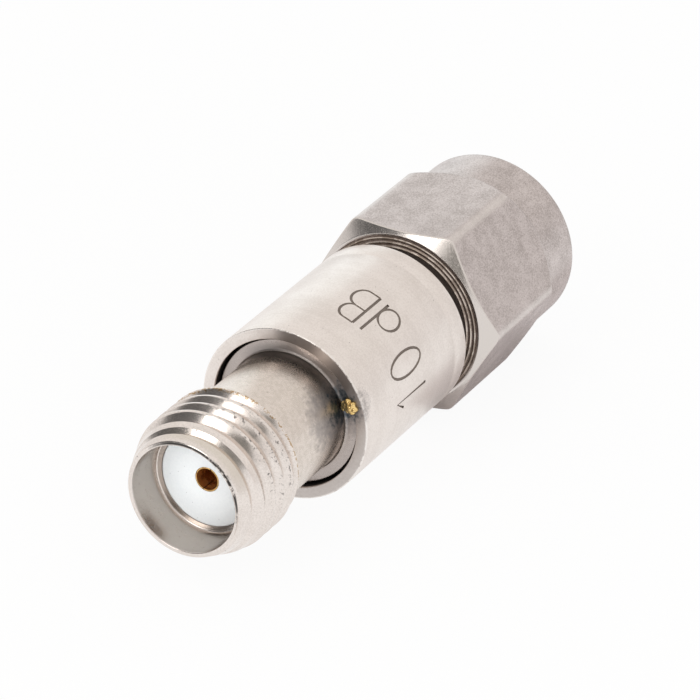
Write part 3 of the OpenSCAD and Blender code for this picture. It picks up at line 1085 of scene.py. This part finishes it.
@dataclass
class Sleeve:
    """The plain sleeve with its marking, and the solder bead at its end."""

    line: Line
    bore: float = 3.27
    edge: float = 0.05
    ring_back: float = 1.0
    ring_w: float = 0.05
    ring_depth: float = 0.012
    bead_angle: float = 160.0
    bead_radius: float = 3.17
    bead_voxel: float = 0.022
    bead_lump: float = 0.018
    bead_lumps: float = 7.0

    def bead_middle(self) -> Vector:
        """Places the solder bead.

        Returns:
            Its middle, in mm from the jack's mouth.
        """
        low = self.line.span("solder_bead")[0]
        angle = math.radians(self.bead_angle)
        return Vector((low + 0.2, self.bead_radius * math.cos(angle), self.bead_radius * math.sin(angle)))

    def tube(self) -> Mesh:
        """Turns the sleeve with its tool ring and cuts the marking.

        Returns:
            The mesh, in mm about the axis.
        """
        first, last = self.line.span("sleeve")
        radius = self.line.radius("sleeve")
        ring = last - self.ring_back
        bm = lathe([
            Corner(first, self.bore, 0.03), Corner(first, radius, self.edge),
            Corner(ring - self.ring_w, radius), Corner(ring, radius - self.ring_depth),
            Corner(ring + self.ring_w, radius), Corner(last, radius, self.edge),
            Corner(last, self.bore, 0.03),
        ], steps=2 * STEPS)
        for cutter in Marking(radius).cutters():
            bm = carve(bm, cutter)
        return bm

    def bead(self) -> Mesh:
        """Melts a few drops into one lumpy bead in the gap between flange and sleeve.

        Returns:
            The mesh, in mm about the axis.
        """
        low = self.line.span("solder_bead")[0]
        bm = bmesh.new()
        # Drops of the bead: degrees from its middle, radius, depth and size in mm
        drops = [
            (-2.4, 2.90, 0.30, 0.13), (0.8, 2.84, 0.30, 0.15), (-0.8, 3.06, 0.26, 0.19),
            (2.6, 3.05, 0.26, 0.17), (-3.6, 3.20, 0.24, 0.17), (0.5, 3.24, 0.16, 0.20),
            (3.6, 3.25, 0.20, 0.16), (-1.6, 3.40, 0.13, 0.13), (1.8, 3.43, 0.12, 0.14),
        ]
        drops += [(turn, 3.19, 0.55, 0.10) for turn in (-3.0, 0.0, 3.0)]
        for turn, radius, deep, size in drops:
            angle = math.radians(self.bead_angle + turn)
            spot = Vector((low + deep, radius * math.cos(angle), radius * math.sin(angle)))
            bmesh.ops.create_icosphere(bm, subdivisions=3, radius=size, matrix=Matrix.Translation(spot))
        lump = scratch(bm)
        melt = lump.modifiers.new("melt", "REMESH")
        melt.mode, melt.voxel_size = "VOXEL", self.bead_voxel
        bm = settled(lump)
        every_way = {"use_axis_x": True, "use_axis_y": True, "use_axis_z": True}
        for _ in range(3):
            bmesh.ops.smooth_vert(bm, verts=bm.verts, factor=0.5, **every_way)
        bm.normal_update()
        for v in bm.verts:
            v.co += v.normal * self.bead_lump * noise.noise(v.co * self.bead_lumps)
        return bm

    def wear(self) -> tuple:
        """Painted shade and reflection on the end face, painted highlights on the edges, heat, the marking's
        dark strokes and painted shade in the bore.

        Returns:
            The overlays in the order that they are laid.
        """
        radius = self.line.radius("sleeve")
        first, last = self.line.span("sleeve")
        end, wall = (first - 0.1, first + 0.04), (self.bore, radius - 0.02)
        streak = (self.bore, radius - 0.03)
        return (
            # Painted reflection on the end face: duller and darker over the top, two dark streaks, grey lower
            # down
            Band(end, wall, DULL_FINISH_AND_SHADE, share=0.7, rough=0.1, turn=(125, 45)),
            Band(end, streak, END_PAINTED_STREAK, share=0.85, rough=0.1, turn=(101, 2)),
            Band(end, streak, END_PAINTED_STREAK, share=0.8, rough=0.1, turn=(143, 4)),
            Band(end, wall, GREY_STAIN_AND_REFLECTION, share=0.5, rough=0.1, turn=(225, 55)),
            # Painted highlights, in patches, on the burred back and front edges
            Band((last - 0.07, last + 0.01), (radius - 0.07, radius + 0.01), EDGE_PAINTED_HIGHLIGHT,
                 share=0.8, rough=-0.1, patchy=0.45, patch_scale=4.0),
            Band((first - 0.01, first + 0.06), (radius - 0.06, radius + 0.01), EDGE_PAINTED_HIGHLIGHT,
                 share=0.7, rough=-0.1, patchy=0.4, patch_scale=4.0),
            HeatStain(tuple(self.bead_middle()), 1.0, SOOT, GREY_STAIN_AND_REFLECTION, strength=0.9),
            # Strokes of the marking
            Band((first + 0.5, last - 1.5), (radius - 0.2, radius - 0.006), STROKE_DARK,
                 share=0.85, rough=0.2, soft=0.003),
            # Painted shade inside the sleeve's bore
            Band((first + 0.1, last + 0.1), (self.bore - 0.1, self.bore + 0.04), DIRT_AND_PAINTED_SHADE, share=0.95, rough=0.3),
        )

    def build(self) -> None:
        """Adds the sleeve and its bead."""
        metal = Metal(
            "satin_nickel", NICKEL, NICKEL_SHADE, roughness=0.31, lines=7.0, mark=0.0004, grain=0.0008,
            grain_scale=4.0, pits=0.14, overlays=self.wear(),
        )
        body = Body.ATTENUATOR
        add_piece(self.tube(), "marked_sleeve", self.line, body, "sleeve", metal.build())
        solder = Metal(
            "golden_solder", SOLDER, SOLDER_SHADE, roughness=0.1, lines=2.0, mark=0.0, grain=0.004,
            grain_scale=7.0, pits=0.3,
        )
        add_piece(self.bead(), "lumpy_solder_bead", self.line, body, "solder_bead", solder.build())


@dataclass
class Plug:
    """The pin end inside the nut: shell, insulator, pin, retaining ring and gasket."""

    line: Line
    barrel_r: float = 2.6
    press_r: float = 3.26
    press_back: float = 0.35
    wall: float = 0.215
    foot: float = 0.075
    foot_l: float = 0.1
    ring_sink: float = 0.31
    chip_gap: float = 0.21
    tip_l: float = 0.45
    tip_r: float = 0.18
    split: float = 0.4

    def shell(self) -> Mesh:
        """Turns the plug's shell: press land, barrel, ring groove, gasket foot and ferrule.

        Returns:
            The mesh, in mm about the axis.
        """
        first, last = self.line.span("plug_shell")
        ring = self.line.span("retaining_ring")
        seat = self.line.span("gasket")
        outer = mount("plug_ferrule", "r_mm")
        land_end = self.line.span("sleeve")[1] - self.press_back
        groove = self.barrel_r - self.ring_sink
        return lathe([
            Corner(first, outer - self.wall), Corner(first, self.press_r, 0.03),
            Corner(land_end, self.press_r, 0.05), Corner(land_end, self.barrel_r, 0.1),
            Corner(ring[0] - FIT, self.barrel_r, 0.03), Corner(ring[0] - FIT, groove),
            Corner(ring[1] + FIT, groove), Corner(ring[1] + FIT, self.barrel_r, 0.03),
            Corner(seat[0] - FIT, self.barrel_r, 0.04), Corner(seat[0] - FIT, outer - self.foot),
            Corner(seat[1] + self.foot_l, outer, 0.02), Corner(last, outer, 0.12),
            Corner(last, outer - self.wall, 0.03),
        ])

    def insulator(self) -> Mesh:
        """Turns the plug's insulator with softened rims.

        Returns:
            The mesh, in mm about the axis.
        """
        first, last = self.line.span("plug_insulator")
        radius, bore = self.line.radius("plug_insulator"), self.line.radius("plug_pin") + FIT
        return lathe([
            Corner(first, bore), Corner(first, radius), Corner(last, radius, 0.05), Corner(last, bore, 0.02),
        ])

    def pin(self) -> Mesh:
        """Turns the pin with its tapered tip and saws the chip's groove.

        Returns:
            The mesh, in mm about the axis.
        """
        first, last = self.line.span("plug_pin")
        face = self.line.span("plug_insulator")[1]
        radius, thin = self.line.radius("plug_pin"), mount("plug_pin", "r_mm")
        bm = lathe([
            Corner(first, 0), Corner(first, radius, 0.03),
            Corner(face, radius, 0.02), Corner(face, thin, 0.02),
            Corner(last - self.tip_l, thin, 0.2), Corner(last, self.tip_r, 0.1), Corner(last, 0),
        ], closed=False, steps=THIN_STEPS)
        chip = self.line.span("attenuator_chip")[1]
        return carve(bm, block((first - 1, -2, -self.chip_gap), (chip + FIT, 2, self.chip_gap)))

    def ring(self) -> Mesh:
        """Turns the retaining ring and cuts its split.

        Returns:
            The mesh, in mm about the axis.
        """
        first, last = self.line.span("retaining_ring")
        outer, inner = self.line.radius("retaining_ring"), self.barrel_r - self.ring_sink + FIT
        bm = lathe([
            Corner(first, inner, 0.08), Corner(first, outer, 0.1),
            Corner(last, outer, 0.1), Corner(last, inner, 0.08),
        ])
        return carve(bm, block((first - 1, -self.split, 0), (last + 1, self.split, outer + 1)))

    def gasket(self) -> Mesh:
        """Turns the soft gasket with full round rims.

        Returns:
            The mesh, in mm about the axis.
        """
        first, last = self.line.span("gasket")
        outer, inner = self.line.radius("gasket"), mount("plug_ferrule", "r_mm") + FIT
        return lathe([
            Corner(first, inner, 0.05), Corner(first, outer, 0.14),
            Corner(last, outer, 0.18), Corner(last, inner, 0.16),
        ], arc=6)

    def build(self) -> None:
        """Adds the plug's pieces."""
        body = Body.ATTENUATOR
        land_end = self.line.span("sleeve")[1] - self.press_back
        nut = self.line.span("coupling_nut")[0]
        # Painted shade on the barrel in the gap between sleeve and nut
        gap = Band((land_end - 0.1, nut + 0.6), (2.4, 3.3), BARREL_GAP_SHADE, share=0.9, rough=0.2)
        metal = Metal(
            "turned_plug_metal", NICKEL, NICKEL_SHADE, roughness=0.27, lines=9.0, mark=0.0006, grain=0.0008,
            overlays=(gap,),
        )
        bronze = Metal(
            "spring_bronze", BRONZE, BRONZE_SHADE, roughness=0.3, lines=6.0, mark=0.001, grain=0.001
        )
        red = Dielectric(
            "silicone_gasket", GASKET_RED, GASKET_SHADE, roughness=0.55, grain=0.004,
            grain_scale=8.0, specks=0.06,
        )
        white, gold = (bpy.data.materials[name] for name in ("white_insulator", "gold_plate"))
        for bm, name, node, slot, finish in (
            (self.shell(), "plug_shell_turned", "plug_shell", "shell_metal", metal.build()),
            (self.insulator(), "plug_insulator_bush", "plug_insulator", "ptfe", white),
            (self.pin(), "tapered_pin", "plug_pin", "gold_plate", gold),
            (self.ring(), "split_retaining_ring", "retaining_ring", "ring_metal", bronze.build()),
            (self.gasket(), "soft_gasket", "gasket", "gasket_rubber", red.build()),
        ):
            add_piece(bm, name, self.line, body, node, finish)


@dataclass
class Nut:
    """The captive coupling nut: rounded hexagon, conical chamfers, nose and inside thread."""

    line: Line
    back_r: float = 3.8
    back_slope: float = math.tan(math.radians(30))
    front_slope: float = math.tan(math.radians(35))
    nose_r: float = 3.92
    nose_l: float = 2.4
    nose_edge: float = 0.15
    lip_r: float = 2.66
    groove_r: float = 3.01
    relief_r: float = 3.2
    crest_r: float = 2.86
    root_r: float = 3.19
    mouth_r: float = 3.25
    mouth_l: float = 0.45
    play: float = 0.08
    root_w: float = 0.05
    flank_w: float = 0.27
    open_w: float = 0.32
    open_h: float = 0.2
    thread_lead: float = 0.2
    thread_over: float = 0.6
    corner_power: float = 42.0
    melt: float = 0.016
    lip_sink: float = 0.1
    face_sink: float = 0.012
    cone_l: float = 0.46
    cone_steps: int = 26
    flat_steps: int = 14
    # Fine rings on the back, as depth below it and radius
    rings: tuple[Pair, ...] = (
        (0.1, 3.12), (0.0, 3.20), (0.0, 3.23), (0.05, 3.29), (0.05, 3.34), (0.0, 3.40), (0.0, 3.42),
        (0.05, 3.48), (0.05, 3.54), (0.0, 3.59), (0.0, 3.61), (0.04, 3.65), (0.04, 3.69), (0.012, 3.73),
    )

    def flats(self) -> float:
        """Half the width across the flats, in mm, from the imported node's box."""
        low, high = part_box("coupling_nut")
        return (high.z - low.z) / 2 / MM

    def outline(self) -> list[Corner]:
        """Draws the turned outline, from the back face over the nose and back through the bore.

        Returns:
            The outline's corners.
        """
        first, last = self.line.span("coupling_nut")
        corner = self.line.radius("coupling_nut")
        ring = self.line.span("retaining_ring")
        seat = self.line.span("gasket")
        nose = last - self.nose_l
        back_end = first + (corner - self.back_r) * self.back_slope
        front_end = nose - (corner - self.nose_r) / self.front_slope
        seat_first, seat_last = seat[0] - FIT - self.play, seat[1] + self.play
        bore = [
            (last, self.mouth_r), (last - self.mouth_l, self.crest_r),
            (seat_last + self.relief_r - self.crest_r, self.crest_r), (seat_last, self.relief_r),
            (seat_first, self.relief_r), (seat_first, self.lip_r),
            (ring[1] + self.play, self.lip_r), (ring[1] + self.play, self.groove_r),
            (ring[0] - self.play, self.groove_r), (ring[0] - self.play, self.lip_r),
        ]
        return (
            [Corner(first + self.lip_sink, self.lip_r, 0.05)]
            + [Corner(first + deep, radius) for deep, radius in self.rings]
            + [Corner(first + self.face_sink, self.back_r, 0.01)]
            + self.steps((first, self.back_r), (back_end, corner), self.cone_steps)
            + self.steps((back_end, corner), (front_end, corner), self.flat_steps)
            + self.steps((front_end, corner), (nose, self.nose_r), self.cone_steps)
            + [Corner(along, self.nose_r) for along in (nose + 0.05, nose + 0.3, last - 0.4)]
            + [Corner(last, self.nose_r, self.nose_edge)]
            + [Corner(along, radius, 0.03) for along, radius in bore]
        )

    def steps(self, start: Pair, end: Pair, count: int) -> list[Corner]:
        """Evenly spaced plain corners of a straight stretch.

        Args:
            start: Where the stretch starts, as (along, radius); it gets no corner.
            end: Where it ends; it gets the last corner.
            count: Number of corners.

        Returns:
            The corners.
        """
        (s0, r0), (s1, r1) = start, end
        return [Corner(s0 + (s1 - s0) * k / count, r0 + (r1 - r0) * k / count) for k in range(1, count + 1)]

    def shell(self) -> Mesh:
        """Turns the nut, presses its six flats with soft corners and cuts the inside thread.

        Returns:
            The mesh, in mm about the axis.
        """
        bm = lathe(self.outline(), steps=360)
        half = self.flats()
        for v in bm.verts:
            radius = math.hypot(v.co.y, v.co.z)
            if radius < self.back_r - 0.02:
                continue
            angle = math.atan2(v.co.z, v.co.y)
            faces = [max(0.0, math.cos(angle - math.radians(30 + 60 * k))) for k in range(6)]
            hexagon = half / sum(f**self.corner_power for f in faces) ** (1 / self.corner_power)
            gap = abs(radius - hexagon)
            least = min(radius, hexagon) - self.melt * math.exp(-gap / self.melt)
            v.co.y *= least / radius
            v.co.z *= least / radius
        bmesh.ops.recalc_face_normals(bm, faces=bm.faces)
        section = both_flanks([
            (self.open_w, self.crest_r - self.open_h), (self.flank_w, self.crest_r),
            (self.root_w, self.root_r),
        ])
        last = self.line.span("coupling_nut")[1]
        start = self.line.span("gasket")[1] + self.thread_lead
        return carve(bm, helix(section, THREAD_PITCH, start, last + self.thread_over))

    def wear(self) -> tuple:
        """Rubbed corners with a painted highlight, the bright chamfer, and the worn rings of the back with
        painted shade in their roots and on the lip inside them.

        Returns:
            The overlays in the order that they are laid.
        """
        first, last = self.line.span("coupling_nut")
        corner = self.line.radius("coupling_nut")
        rings, fine = (3.15, 3.72), 0.012
        return (
            # Rubbed corners of the hexagon, lighter, with a painted highlight along them
            Band((first, last), (corner - 0.03, 4.8), CORNER_WEAR_AND_HIGHLIGHT, share=0.6, rough=-0.03, soft=0.05),
            PolishedCone((first, self.back_r), 1 / self.back_slope, self.cone_l, CONE_BRIGHT,
                         rough=-0.08, soft=0.09),
            # Crests of the fine rings, painted shade on the lip inside them, and painted shade in their roots
            Band((first - 0.1, first + 0.03), rings, RING_CREST, share=0.9, rough=-0.03, soft=fine),
            Band((first - 0.1, first + 1.0), (2.5, 3.15), LIP_PAINTED_SHADE, share=0.92, rough=0.2),
            Band((first + 0.03, first + 0.2), (3.23, 3.72), RING_ROOT_SHADE, share=0.85, rough=0.15, soft=fine),
            # Brown wear in patches over the rings
            Band((first - 0.1, first + 0.2), rings, RING_WORN, share=0.7, rough=0.1, patchy=0.47, soft=fine,
                 patch_scale=1.6),
        )

    def build(self) -> None:
        """Adds the nut."""
        metal = Metal(
            "tumbled_steel", STEEL, STEEL_SHADE, roughness=0.3, lines=6.0, mark=0.0002, grain=0.003,
            grain_scale=4.5, pits=0.12, overlays=self.wear(), streaks=0.1,
        )
        steel = metal.build()
        add_piece(self.shell(), "hex_coupling_nut", self.line, Body.NUT, "coupling_nut", steel)


@dataclass
class Element:
    """The attenuating element: ceramic chip and its carrier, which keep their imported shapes."""

    def build(self) -> None:
        """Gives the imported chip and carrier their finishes."""
        chip = Dielectric(
            "alumina_chip", ALUMINA, ALUMINA_SHADE, roughness=0.5, grain=0.002, grain_scale=9.0, specks=0.08
        )
        holder = Metal(
            "carrier_metal", CARRIER, CARRIER_SHADE, roughness=0.34, lines=6.0, mark=0.0012, grain=0.001
        )
        for node, finish in (("attenuator_chip", chip), ("chip_carrier", holder)):
            material = finish.build()
            mesh = frame["nodes"][node].data
            mesh.materials.clear()
            mesh.materials.append(material)
            LOG.info("%s: packed node with finish %s", node, material.name)


@dataclass
class Studio:
    """Camera, pale floor, soft lights and cards."""

    line: Line
    azimuth: float = -61.46
    elevation: float = 27.387
    distance: float = 198.775
    middle: float = 13.653
    side: float = 0.047
    rise: float = 0.324
    lens: float = 249.27
    sensor: float = 36.0
    shade_at: Triple = (26.0, -0.5, 0.0)
    shade_size: Pair = (0.018, 0.012)
    lift: float = 0.00001
    floor_grey: float = 0.85
    floor_glow: float = 0.82
    floor_glow_camera: float = 0.10
    room_level: float = 1.15
    # Height and colour of the room's stops, from the horizon up
    stops: tuple[tuple[float, Triple], ...] = (
        (0.0, (0.76, 0.745, 0.735)), (0.16, (0.785, 0.765, 0.755)),
        (0.42, (0.78, 0.76, 0.74)), (0.75, (0.82, 0.80, 0.78)),
    )

    def target(self) -> Vector:
        """The point that the camera and lights look at."""
        return self.line.matrix() @ Vector((self.middle, self.side, self.rise))

    def camera(self) -> None:
        """Sets the camera at the photograph's angle."""
        a, e = math.radians(self.azimuth), math.radians(self.elevation)
        back = Vector((math.sin(a) * math.cos(e), -math.cos(a) * math.cos(e), math.sin(e)))
        data = bpy.data.cameras.new("camera")
        data.sensor_width, data.lens = self.sensor, self.lens
        data.clip_start, data.clip_end = 0.01, 20.0
        made = bpy.data.objects.new("camera", data)
        made.location = self.target() + back * self.distance * MM
        made.rotation_euler = (-back).to_track_quat("-Z", "Y").to_euler()
        bpy.context.scene.collection.objects.link(made)
        bpy.context.scene.camera = made

    def softbox(
        self, name: str, towards: Triple, away: float, size: Pair, level: float, colour: Triple
    ) -> bpy.types.Object:
        """Adds a rectangular light that faces the part.

        Args:
            name: The light's name.
            towards: Direction from the part to the light.
            away: Distance in metres.
            size: Width and height in metres.
            level: Brightness of its face.
            colour: Its colour.

        Returns:
            The light.
        """
        data = bpy.data.lights.new(name, "AREA")
        data.shape, data.size, data.size_y = "RECTANGLE", size[0], size[1]
        data.energy, data.color = level * math.pi * size[0] * size[1], colour
        made = bpy.data.objects.new(name, data)
        way = Vector(towards).normalized()
        made.location = self.target() + way * away
        made.rotation_euler = (-way).to_track_quat("-Z", "Y").to_euler()
        bpy.context.scene.collection.objects.link(made)
        return made

    def card(self, name: str, towards: Triple, away: float, size: Pair, colour: Colour) -> None:
        """Adds a matt card that faces the part.

        Args:
            name: The card's name.
            towards: Direction from the part to the card.
            away: Distance in metres.
            size: Width and height in metres.
            colour: Its colour.
        """
        way = Vector(towards).normalized()
        turn = (-way).to_track_quat("-Z", "Y").to_matrix().to_4x4()
        self.mirrored(name, Matrix.Translation(self.target() + way * away) @ turn, size, colour)

    def shade(self) -> None:
        """Adds a card flat on the floor behind the nut, as the shade that its lower flats mirror."""
        spot = self.line.matrix() @ Vector(self.shade_at)
        spot.z = CAD_BOX[0].z + self.lift
        self.mirrored("floor_shade", Matrix.Translation(spot), self.shade_size, (0.88, 0.85, 0.86, 1))

    def mirrored(self, name: str, place: Matrix, size: Pair, colour: Colour) -> None:
        """Makes a matt card that the metal mirrors but the camera doesn't see.

        Args:
            name: The card's name.
            place: Where it lies, with its face along Z.
            size: Width and height in metres.
            colour: Its colour.
        """
        bm = bmesh.new()
        bmesh.ops.create_grid(bm, x_segments=1, y_segments=1, size=0.5)
        bmesh.ops.scale(bm, vec=(size[0], size[1], 1), verts=bm.verts)
        bm.transform(place)
        mesh = bpy.data.meshes.new(name)
        bm.to_mesh(mesh)
        bm.free()
        material, g, shader = new_material(name)
        spot = g.node("ShaderNodeTexCoord").outputs["Object"]
        tone = g.between(g.noise(spot, 20.0), 0.3, 0.7)
        g.feed(shader.inputs["Base Color"], g.blend(tone, colour, tuple(0.9 * c for c in colour)))
        shader.inputs["Roughness"].default_value = 0.9
        mesh.materials.append(material)
        made = bpy.data.objects.new(name, mesh)
        made.visible_camera = made.visible_shadow = made.visible_diffuse = False
        bpy.context.scene.collection.objects.link(made)

    def seen(self, g: Graph) -> Socket:
        """Tells whether a ray comes from the camera, a mirror or glass.

        Args:
            g: The graph of the floor's material.

        Returns:
            1 where it does, and 0 elsewhere.
        """
        path = g.node("ShaderNodeLightPath").outputs
        mirror = g.math("MAXIMUM", path["Is Glossy Ray"], path["Is Transmission Ray"])
        return g.math("MAXIMUM", path["Is Camera Ray"], mirror)

    def floor(self) -> None:
        """Adds a white floor that keeps the part's shadow."""
        bm = bmesh.new()
        bmesh.ops.create_grid(bm, x_segments=8, y_segments=8, size=3.0)
        bmesh.ops.translate(bm, vec=(0, 0, CAD_BOX[0].z - 2 * self.lift), verts=bm.verts)
        mesh = bpy.data.meshes.new("floor")
        bm.to_mesh(mesh)
        bm.free()
        material, g, shader = new_material("white_floor")
        shader.inputs["Base Color"].default_value = (*[self.floor_grey] * 3, 1)
        shader.inputs["Roughness"].default_value = 0.9
        camera = g.node("ShaderNodeLightPath").outputs["Is Camera Ray"]
        glow = g.node("ShaderNodeEmission", {"Color": (1, 1, 1, 1), "Strength": 1.0}).outputs[0]
        glow_share = g.math("MULTIPLY_ADD", camera, self.floor_glow_camera, self.floor_glow)
        share = g.math("MULTIPLY", self.seen(g), glow_share)
        mixed = g.node("ShaderNodeMixShader", {0: share, 1: shader.outputs[0], 2: glow}).outputs[0]
        g.feed(g.tree.nodes["Material Output"].inputs["Surface"], mixed)
        mesh.materials.append(material)
        made = bpy.data.objects.new("floor", mesh)
        bpy.context.scene.collection.objects.link(made)

    def world(self) -> None:
        """Adds a soft room: darker round the horizon, light above, and white behind the part."""
        world = bpy.data.worlds.new("studio")
        bpy.context.scene.world = world
        world.use_nodes = True
        world.node_tree.nodes.clear()
        g = Graph(world.node_tree)
        way = g.node("ShaderNodeTexCoord").outputs["Generated"]
        height = g.node("ShaderNodeSeparateXYZ", {0: way}).outputs[2]
        ramp = g.node("ShaderNodeValToRGB", {0: height})
        for k, (spot, rgb) in enumerate(self.stops):
            stop = ramp.color_ramp.elements[k] if k < 2 else ramp.color_ramp.elements.new(spot)
            stop.position, stop.color = spot, (*rgb, 1)
        lit = {"Color": ramp.outputs[0], "Strength": self.room_level}
        room = g.node("ShaderNodeBackground", lit).outputs[0]
        white = g.node("ShaderNodeBackground", {"Color": (1, 1, 1, 1), "Strength": 1.0}).outputs[0]
        camera = g.node("ShaderNodeLightPath").outputs["Is Camera Ray"]
        mixed = g.node("ShaderNodeMixShader", {0: camera, 1: room, 2: white}).outputs[0]
        g.node("ShaderNodeOutputWorld", {"Surface": mixed})

    def build(self) -> None:
        """Builds the whole studio."""
        self.camera()
        self.floor()
        self.world()
        plain, cool, blue = (1.0, 0.98, 0.96), (0.95, 0.98, 1.0), (0.75, 0.94, 1.0)
        self.softbox("back_left_light", (0.78, 0.66, 0.22), 0.30, (0.18, 0.18), 0.32, blue)
        self.softbox("front_light", (-0.872, 0.20, 0.446), 0.35, (0.13, 0.14), 2.8, plain)
        fill = self.softbox("front_fill", (-0.70, -0.70, 0.06), 0.35, (0.30, 0.24), 5.4, cool)
        fill.visible_glossy = False
        self.card("dark_card_left", (-0.69, 0.61, 0.34), 0.3, (0.19, 0.24), (0.08, 0.08, 0.08, 1))
        self.card("grey_card_right", (-0.953, -0.21, 0.21), 0.3, (0.13, 0.14), (0.17, 0.165, 0.15, 1))
        self.shade()
        bpy.context.scene.view_settings.view_transform = "Standard"


def main() -> None:
    """Builds the studio and each sub-assembly in order."""
    logging.basicConfig(level=logging.INFO, format="%(name)s %(message)s")
    line = Line.from_frame()
    Studio(line).build()
    Effects(line)
    sleeve = Sleeve(line)
    Jack(line).build(sleeve.bead_middle())
    sleeve.build()
    Plug(line).build()
    Nut(line).build()
    Element().build()


if __name__ == "__main__":
    main()
